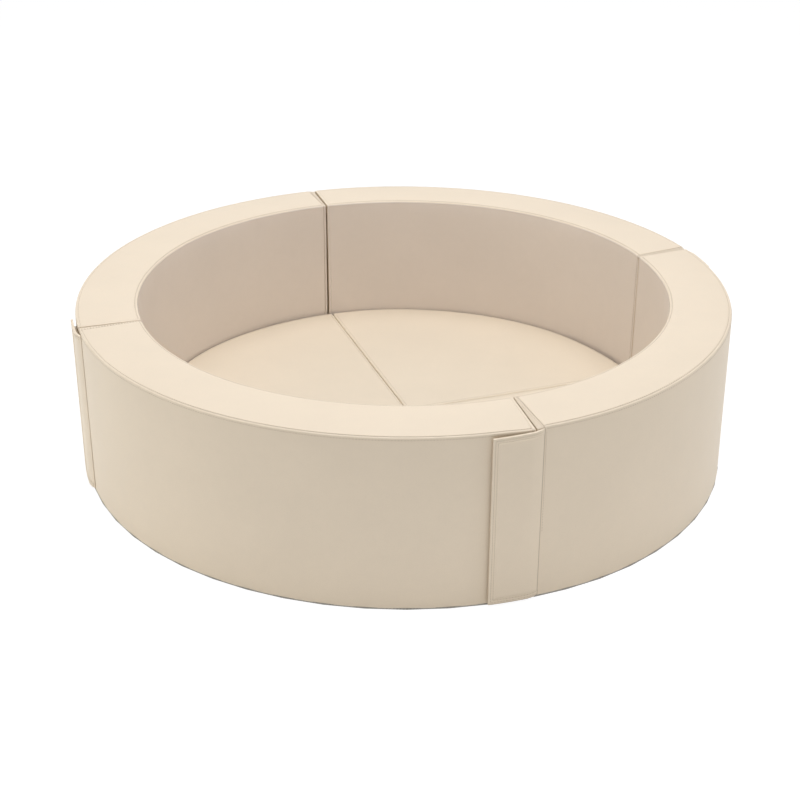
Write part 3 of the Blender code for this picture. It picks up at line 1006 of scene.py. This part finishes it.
def makeHem(name, rim, way, corner, turn, change):
    # the leather that closes the underside past both ends of the zip: rim is the radius of the cover's side,
    # way is 1 where the hem lies outside it and -1 inside, and corner is the radius of the cover's corner
    patches = []
    for last in (False, True):
        patch = newGrid(name, *hem["cells"])
        across, inward, _ = (pointsOf(patch) + 0.5).T
        if last:
            inward = 1.0 - inward  # 0 at the section's end and 1 at the zip
        if way < 0.0:
            across = 1.0 - across
        fromSide = hem["side"] + across * (hem["width"] - hem["side"])
        fromEnd = hem["side"] + inward * (hem["reach"] - hem["side"])
        overSide, overEnd = np.maximum(corner - fromSide, 0.0), np.maximum(corner - fromEnd, 0.0)
        over = np.maximum(np.hypot(overSide, overEnd), 0.000001)
        keep = np.minimum((corner - hem["side"]) / over, 1.0)  # draws the patch in round the corner
        radius = rim + way * (fromSide + overSide * (1.0 - keep))
        angle = np.arcsin((fromEnd + overEnd * (1.0 - keep)) / radius)
        angle = radians(turn) + (pi / 2.0 - angle if last else angle)
        low = np.full(len(radius), hem["low"])
        points = np.column_stack((radius * np.cos(angle), radius * np.sin(angle), low))
        points[:, :2] += ((change(points) - points) * (1.0 - inward)[:, None])[:, :2]
        setPoints(patch, points)
        patches.append(patch)
    pick(patches[0])
    patches[1].select_set(True)
    bpy.ops.object.join()
    piece = patches[0]
    piece.name = piece.data.name = name
    finishWith(piece, "SOLIDIFY", thickness=hem["thickness"], offset=1.0)
    dress(piece, wallLeather)
    return piece


def fitCushion(kind, number, cover, foam, base, closing):
    # the four pieces of a wall section or pad, on its body
    body = f"wall_section_{number}" if kind == "wall" else f"floor_pad_{number}"
    fit(cover, body, f"{kind}_cover_{number}")
    fit(foam, body, f"{kind}_foam_{number}")
    fit(base, body, f"{kind}_base_{number}")
    fit(closing, body)


firstCover = makeWallCover()
softenWallCover(firstCover)
wallCovers = {}
for number in numbers:
    turn = sectionStart(number)
    cover = copyOf(firstCover, f"wallCover_{number}")
    sagEnd(cover, wall["sags"][number])
    foam = makeFoam(cover, f"wallFoam_{number}", turn, slantJoints)
    finishCover(cover, number, ring["low"], lambda points: wallPull(points, number))
    paintStripShade(cover, wall["stripPaintedShades"][number])
    place(cover, turn)
    setPoints(cover, slantJoints(pointsOf(cover)))
    dress(cover, wallLeather)
    cover.data.materials.append(innerPaintedLightLeather)
    for face in cover.data.polygons:
        if hypot(face.center.x, face.center.y) < ring["inner"] + wall["softRadius"] / 3.0:
            face.material_index = 1  # the panel round the inside, which takes the copy with painted light
    base = makeBase(f"wall_base_{number}", f"wallBase_{number}", thickenBase)
    closing = makeHem(f"wallHem_{number}", ring["inner"], 1.0, hem["wallCorner"], turn, slantJoints)
    fitCushion("wall", number, cover, foam, base, closing)
    wallCovers[number] = cover
throwAway(firstCover)
print("wall covers made,", len(wallCovers[1].data.polygons), "faces each")

# Floor pads

def padDistance(points):
    # how far each point lies from the nearest side of the pad's plan
    half = pad["gap"] / 2.0
    return np.minimum(np.minimum(points[:, 0], points[:, 1]) - half, pad["radius"] - radiusOf(points))


def makePadCover():
    # a quarter round between angles 0 and 90 degrees
    half = pad["gap"] / 2.0
    piece = newGrid("padCover", pad["coreCells"], pad["coreCells"], pad["core"])
    openUp(piece)
    chooseAll()
    bpy.ops.transform.translate(value=(pad["core"] / 2.0 + half, pad["core"] / 2.0 + half, pad["top"]))
    closeUp()
    points = pointsOf(piece)
    plan = points[:, :2] - half
    pull = 1.0 - pad["coreRounding"] * (plan[:, 0] * plan[:, 1] / pad["core"] ** 2)
    points[:, :2] = plan * pull[:, None] + half
    setPoints(piece, points)

    rim = [index for index, spot in enumerate(plan) if spot.max() > pad["core"] - near["touch"]]
    rim.sort(key=lambda index: atan2(plan[index][1], plan[index][0]))
    start = points[rim][:, :2]
    reachOut = sqrt(pad["radius"] ** 2 - half ** 2)
    least = atan2(half, reachOut)
    turns = least + (pi / 2.0 - 2.0 * least) * np.arange(len(rim)) / (len(rim) - 1)
    end = pad["radius"] * np.stack([np.cos(turns), np.sin(turns)], axis=1)
    openUp(piece)
    isRim = set(rim)
    choose(
        piece, "EDGE",
        lambda edge: edge.is_boundary and all(vert.index in isRim for vert in edge.verts),
    )
    for step in range(1, pad["outerRings"] + 1):
        last = start + (end - start) * (step - 1) / pad["outerRings"]
        goal = start + (end - start) * step / pad["outerRings"]
        bpy.ops.mesh.extrude_region_move()
        shape = bmesh.from_edit_mesh(piece.data)
        for vert in shape.verts:
            if vert.select:
                nearest = int(np.argmin(np.hypot(last[:, 0] - vert.co.x, last[:, 1] - vert.co.y)))
                vert.co.x, vert.co.y = goal[nearest]
        bmesh.update_edit_mesh(piece.data)
    bpy.ops.mesh.select_mode(type="FACE")
    chooseAll()
    for step in range(pad["rings"]):
        extrude((0.0, 0.0, (pad["low"] - pad["top"]) / pad["rings"]))
    faceOutward()
    closeUp()

    points = pointsOf(piece)
    atX, atY = (points[:, :2] < half + near["touch"]).T
    atArc = radiusOf(points) > pad["radius"] - near["touch"]
    corner = (atX & atY) | (atX & atArc) | (atY & atArc)
    top = points[:, 2] > pad["top"] - near["touch"]
    markBevels(
        piece,
        lambda here: corner[here].all() and not top[here].all(),
        lambda here: top[here].all() and any(side[here].all() for side in (atX, atY, atArc)),
        pad["topRadius"] / pad["cornerRadius"],
    )
    finishWith(piece, "BEVEL", width=pad["cornerRadius"], segments=4, limit_method="WEIGHT")
    points = pointsOf(piece)
    sewn = abs(padDistance(points) - pad["topRadius"]) < near["seam"]
    sewn &= points[:, 2] > pad["top"] - near["plane"]
    for edge in piece.data.edges:
        edge.use_seam = bool(sewn[list(edge.vertices)].all())
    return piece


def softenPadCover(piece):
    points = pointsOf(piece)
    middle = 1.0 - np.clip(padDistance(points) / pad["crownReach"], 0.0, 1.0)
    crown = pad["crown"] * (1.0 - middle ** 2)
    side = np.where(pad["radius"] - radiusOf(points) < pad["topRadius"], pad["arcSwell"], pad["sideSwell"])
    swell(piece, np.where(points[:, 2] > pad["top"] - near["plane"], crown, side))


def shiftSeams(points):
    # moves the seams between the pads off the ring's axis, each pad's own side with them
    joint = radians(ring["firstJoint"])
    along = np.array([cos(joint), sin(joint)])
    across = np.array([-along[1], along[0]])
    plan = points[:, :2]
    moved = np.array(points, float)
    lean = pad["seamSlant"] * np.maximum(plan @ across, 0.0)
    for way, by in ((along, pad["seamShift"][0] + lean), (across, pad["seamShift"][1])):
        held = 1.0 - smoothStep(abs(plan @ way), *pad["shiftReach"])
        moved[:, :2] += np.outer(held * by, way)
    return moved


firstPad = makePadCover()
softenPadCover(firstPad)
padCovers = {}
for number in numbers:
    turn = sectionStart(number)
    cover = copyOf(firstPad, f"padCover_{number}")
    finishCover(
        cover, number + ring["sections"], pad["low"],
        lambda points: np.full(len(points), pad["pull"]),
    )
    place(cover, turn)
    setPoints(cover, shiftSeams(pointsOf(cover)))
    dress(cover, padLeather)
    foam = makeFoam(firstPad, f"padFoam_{number}", turn, shiftSeams)
    base = makeBase(f"pad_base_{number}", f"padBase_{number}", shiftSeams)
    closing = makeHem(f"padHem_{number}", pad["radius"], -1.0, pad["cornerRadius"], turn, shiftSeams)
    fitCushion("pad", number, cover, foam, base, closing)
    padCovers[number] = cover
throwAway(firstPad)
print("floor pads made,", len(padCovers[1].data.polygons), "faces each")

# Closing flaps

flap = {
    "width": 0.1125,
    "inset": 0.018,  # sewn line to the end of its own section
    "thick": 0.0030,
    "sewnThick": 0.0010,
    "thinReach": 0.010,  # stretch in which it thickens from its sewn line
    "bottom": 0.0050,
    "drop": 0.010,  # top edge below the rim, at its free edge
    "sewnRise": 0.004,  # how much higher the top edge is at the sewn line
    "gap": 0.0003,
    "stand": 0.0046,  # how far it steps out over the tapes
    "ramp": 0.030,
    "freeLift": 0.0006,  # how much further its free edge stands off
    "flare": 0.0008,  # and its top edge
    "flareReach": 0.035,
    "cell": 0.0075,
    "softEdge": 0.0018,
    "hem": 0.0024,  # what the folded hem adds to its thickness
    "hemRows": (0.005, 0.010),  # stitch rows from the free, top and bottom edges
    "rowWidth": 0.0012,
    "rowDepth": 0.0008,
    "rowShade": 0.35,
    "sewnShade": 1.0,
    "sewnFade": (0.0006, 0.0020),  # stretch from the sewn line in which that ends
    "bottomPaintedShade": 0.95,  # painted shade along the bottom edge, where the flap stands over the floor
    "bottomShadeFade": (0.0010, 0.0026),
    "bendFrom": 0.001,
    "bendTo": 0.014,
}
flap["top"] = ring["rim"] - flap["drop"]
flap["height"] = flap["top"] - flap["bottom"]
flap["sewn"] = degrees(flap["inset"] / ring["outer"])
flap["hemEnd"] = flap["hemRows"][-1] + flap["rowWidth"]


def wrapFlap(points):
    # flat flap points (from the sewn line, outward, up) to their place on a section that starts at angle 0
    along, out, up = points[:, 0], points[:, 1], points[:, 2]
    stand = flap["stand"] * smoothStep(along, 0.0, flap["ramp"])
    stand += flap["freeLift"] * smoothStep(along, flap["ramp"], flap["width"])
    flare = smoothStep(up, flap["top"] - flap["flareReach"], flap["top"])
    flare *= smoothStep(along, 0.0, flap["ramp"])
    thick = flap["thick"] - flap["sewnThick"]
    thick = flap["sewnThick"] + thick * smoothStep(along, 0.0, flap["thinReach"])
    radius = ring["outer"] + flap["gap"] + stand + flap["flare"] * flare + out * thick / flap["thick"]
    turn = radians(flap["sewn"]) - along / ring["outer"]
    rise = flap["sewnRise"] * (1.0 - along / flap["width"]) * (up - flap["bottom"]) / flap["height"]
    return np.stack([radius * np.cos(turn), radius * np.sin(turn), up + rise], axis=1)


def hemSteps(length, bothEnds):
    # places of the cuts across a flap: close together about each stitch row of a hem, wide between
    half = flap["rowWidth"] / 2.0
    steps = [0.0, flap["softEdge"] * 2.0]
    for row in flap["hemRows"]:
        steps += [row - 2.0 * half, row - half, row, row + half]
    steps.append(flap["hemEnd"] + flap["rowWidth"])
    first = steps if bothEnds else [0.0, flap["thinReach"] / 3.0, flap["thinReach"] * 2.0 / 3.0]
    last = [length - step for step in reversed(steps)]
    count = round((last[0] - first[-1]) / flap["cell"])
    between = [first[-1] + (last[0] - first[-1]) * step / count for step in range(1, count)]
    return first + between + last


def edgeDistance(points):
    # how far flat flap points lie from the nearest of its free, top and bottom edges
    fromEdge = np.minimum(flap["width"] - points[:, 0], flap["top"] - points[:, 2])
    return np.minimum(fromEdge, points[:, 2] - flap["bottom"])


def makeFlap():
    # flat first: a sheet with folded hems and pressed stitch rows, then laid round the wall
    columns, levels = hemSteps(flap["width"], False), hemSteps(flap["height"], True)
    piece = newGrid("flap", len(columns) - 1, len(levels) - 1)
    openUp(piece)
    chooseAll()
    turnUpright("X")
    extrude((0.0, flap["thick"], 0.0))
    faceOutward()
    closeUp()
    points = pointsOf(piece)
    column = np.rint((points[:, 0] + 0.5) * (len(columns) - 1)).astype(int)
    level = np.rint((points[:, 2] + 0.5) * (len(levels) - 1)).astype(int)
    points[:, 0] = np.array(columns)[column]
    points[:, 2] = np.array(levels)[level] + flap["bottom"]
    outside = points[:, 1] > flap["thick"] / 2.0
    fromEdge = edgeDistance(points)
    points[:, 1] += flap["hem"] * outside * (fromEdge < flap["hemEnd"])
    for row in flap["hemRows"]:
        inRow = outside & (abs(fromEdge - row) < flap["rowWidth"] / 4.0)
        points[inRow, 1] -= flap["rowDepth"]
    setPoints(piece, points)
    sharp = radians(70.0)
    finishWith(piece, "BEVEL", width=flap["softEdge"], segments=2, limit_method="ANGLE", angle_limit=sharp)
    finishWith(piece, "SUBSURF", levels=1, render_levels=1)
    points = pointsOf(piece)
    fromEdge = edgeDistance(points)
    fromRow = np.min([abs(fromEdge - row) for row in flap["hemRows"]], axis=0)
    dark = flap["rowShade"] * (1.0 - smoothStep(fromRow, near["cut"], flap["rowWidth"] / 2.0))
    dark = np.maximum(dark, flap["sewnShade"] * (1.0 - smoothStep(points[:, 0], *flap["sewnFade"])))
    dark *= points[:, 1] > flap["thick"] / 2.0
    # painted shade along the flap's bottom edge
    fromBottom = points[:, 2] - flap["bottom"]
    dark = np.maximum(dark, flap["bottomPaintedShade"] * (1.0 - smoothStep(fromBottom, *flap["bottomShadeFade"])))
    mark(piece, "seamShade", "POINT", dark)
    setPoints(piece, wrapFlap(points))
    shadeSmooth(piece)
    return piece


def ringPoint(radius, angle, height):
    return (radius * cos(radians(angle)), radius * sin(radians(angle)), height)


def hang(piece):
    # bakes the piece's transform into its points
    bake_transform(piece)


firstFlap = makeFlap()
flaps = {}
for number in numbers:
    piece = copyOf(firstFlap, f"closingFlap_{number}")
    place(piece, sectionStart(number))
    dress(piece, sideFlapLeather if number == 4 else flapLeather)
    hang(piece)
    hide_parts(f"flap_{number}")
    flaps[number] = piece
throwAway(firstFlap)
print("flaps made,", len(flaps[1].data.polygons), "faces each")

# Stitches

stitch = {
    "length": 0.0044,
    "gap": 0.0020,
    "radius": 0.0005,
    "dive": 1.3,  # how far its ends go down, in radii
    "proud": 0.45,  # share of its radius that stands out of the leather
    "raise": 0.3,  # and what makes up for the dive
    "offset": 0.0034,  # row to the seam that it runs beside
    "padOffset": 0.0026,
    "endRows": {"clockwise": (0.0020, 0.0064)},  # rows past the seams at the ends
    "taperRoom": 0.003,  # from such a row to where its panel ends
    "foot": 0.012,  # its lowest stitch above the underside
    "besideFlap": 0.0042,  # a row on the wall, beyond the flap's sewn line
    "besideFlapEnds": 0.014,
    "padRoom": (0.004, 0.002, 0.003),  # at the ends of the arc's row, by the centre and by the rim
    "flapStart": 0.004,  # the flap's own rows, from its sewn line
    "flapPoints": 40,  # on each side of such a row
}


def makeStitch():
    # a short thread that dives in at both ends, along X
    bpy.ops.mesh.primitive_uv_sphere_add(segments=6, ring_count=6, radius=1.0)
    piece = bpy.context.object
    piece.name = "stitch"
    openUp(piece)
    chooseAll()
    turnUpright("Y")
    bpy.ops.transform.resize(value=(stitch["length"] / 2.0, stitch["radius"], stitch["radius"]))
    closeUp()
    points = pointsOf(piece)
    share = abs(points[:, 0]) / (stitch["length"] / 2.0)
    points[:, 2] -= stitch["radius"] * stitch["dive"] * share ** 2
    setPoints(piece, points)
    return piece


def evenly(path, spacing):
    # points at even spacing along a path
    path = np.array(path, float)
    steps = np.linalg.norm(np.diff(path, axis=0), axis=1)
    length = np.concatenate([[0.0], np.cumsum(steps)])
    count = max(int(length[-1] / spacing), 2)
    at = (np.arange(count) + 0.5) * length[-1] / count
    return np.stack([np.interp(at, length, path[:, axis]) for axis in range(3)], axis=1)


def sew(name, carrier, paths):
    # one mesh with a stitch at each place, set on the carrier's surface
    seedPoints = pointsOf(firstStitch)
    seedFaces = [list(face.vertices) for face in firstStitch.data.polygons]
    points, faces = [], []
    for path in paths:
        spots = evenly(path, stitch["length"] + stitch["gap"])
        for index, spot in enumerate(spots):
            before, after = spots[max(index - 1, 0)], spots[min(index + 1, len(spots) - 1)]
            _, at, normal, _ = carrier.closest_point_on_mesh(spot)
            up = np.array(normal)
            run = after - before
            run = run - up * (run @ up)
            run /= np.linalg.norm(run)
            turnedPoints = seedPoints @ np.stack([run, np.cross(up, run), up])
            centre = np.array(at) + up * stitch["radius"] * (2.0 * stitch["proud"] - 1.0 + stitch["raise"])
            faces += [[corner + len(points) * len(seedPoints) for corner in face] for face in seedFaces]
            points.append(turnedPoints + centre)
    mesh = bpy.data.meshes.new(name)
    mesh.from_pydata(np.concatenate(points).tolist(), [], faces)
    made = bpy.data.objects.new(name, mesh)
    bpy.context.scene.collection.objects.link(made)
    mesh.shade_smooth()
    dress(made, thread)
    return made


def arc(radius, height, first, last):
    count = max(int(abs(last - first)), 2) * 2
    return [ringPoint(radius, first + (last - first) * i / count, height) for i in range(count + 1)]


def acrossEnd(end, past):
    # beside the seam at that end of a section: up the outside, over the top, down the inside
    start, along, square = endPlane(end)
    soft, low, rim = wall["softRadius"], ring["low"] + stitch["foot"], ring["rim"]
    thick = ring["thick"]
    places = [
        ((thick, low), (thick, rim - soft)),
        ((thick - soft, rim), (soft, rim)),
        ((0.0, rim - soft), (0.0, low)),
    ]
    inside, outside = wall["endSeams"][end]
    ends = past + stitch["taperRoom"]
    room = (ends - inside) / (outside - inside) * thick  # the panel's taper leaves no room before here
    paths = []
    for line in places:
        path = []
        for across, height in line:
            across = max(across, min(room, thick - soft)) if height == rim else across
            path.append((*(start + along * across - square * past), height))
        if ends < (inside if line[0][0] == 0.0 else outside):
            paths.append(path)
    return paths


def wallRows():
    soft, off = wall["softRadius"], stitch["offset"]
    rows = []
    for side, radius, inward in ((1, ring["outer"], -1.0), (0, ring["inner"], 1.0)):
        first = degrees((wall["endSeams"]["clockwise"][side] + off) / radius)
        last = ring["angle"] - degrees((wall["endSeams"]["counter"][side] + off) / radius)
        rows.append(arc(radius + inward * (soft + off), ring["rim"], first, last))
        rows.append(arc(radius, ring["rim"] - soft - off / 2.0, first, last))
    for end, pasts in stitch["endRows"].items():
        for past in pasts:
            rows += acrossEnd(end, past)
    return rows


def rowByFlap():
    turn = flap["sewn"] + degrees(stitch["besideFlap"] / ring["outer"])
    ends = (stitch["besideFlapEnds"], ring["rim"] - stitch["besideFlapEnds"])
    return [[ringPoint(ring["outer"], turn, height) for height in ends]]


def padRows():
    half = pad["gap"] / 2.0
    inset = pad["topRadius"] + stitch["padOffset"]
    reachIn = pad["radius"] - inset
    arcRoom, centreRoom, rimRoom = stitch["padRoom"]
    row, top = half + inset, pad["top"]
    margin = degrees(asin((row + arcRoom) / reachIn))
    corner = row + centreRoom
    far = sqrt(reachIn ** 2 - corner ** 2) - rimRoom
    return [
        [(corner, row, top), (far, row, top)],
        [(row, corner, top), (row, far, top)],
        arc(reachIn, top, margin, ring["angle"] - margin),
    ]


def flapRows():
    rows = []
    for row in flap["hemRows"]:
        free, top, bottom = flap["width"] - row, flap["top"] - row, flap["bottom"] + row
        start, out = stitch["flapStart"], flap["thick"]
        flat = [(start, out, top), (free, out, top), (free, out, bottom), (start, out, bottom)]
        for here, there in zip(flat, flat[1:]):
            rows.append([tuple(point) for point in wrapFlap(np.linspace(here, there, stitch["flapPoints"]))])
    return rows


def turned(rows, angle):
    c, s = cos(radians(angle)), sin(radians(angle))
    return [[(x * c - y * s, x * s + y * c, z) for x, y, z in row] for row in rows]


firstStitch = makeStitch()
for number in numbers:
    start = sectionStart(number)
    paths = [slantJoints(path) for path in turned(wallRows(), start)] + turned(rowByFlap(), start)
    rows = sew(f"wallStitches_{number}", wallCovers[number], paths)
    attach(rows, f"wall_section_{number}")
    paths = [shiftSeams(np.array(path)) for path in turned(padRows(), start)]
    rows = sew(f"padStitches_{number}", padCovers[number], paths)
    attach(rows, f"floor_pad_{number}")
    rows = sew(f"flapStitches_{number}", flaps[number], turned(flapRows(), start))
    hang(rows)
throwAway(firstStitch)
print("stitches sewn")
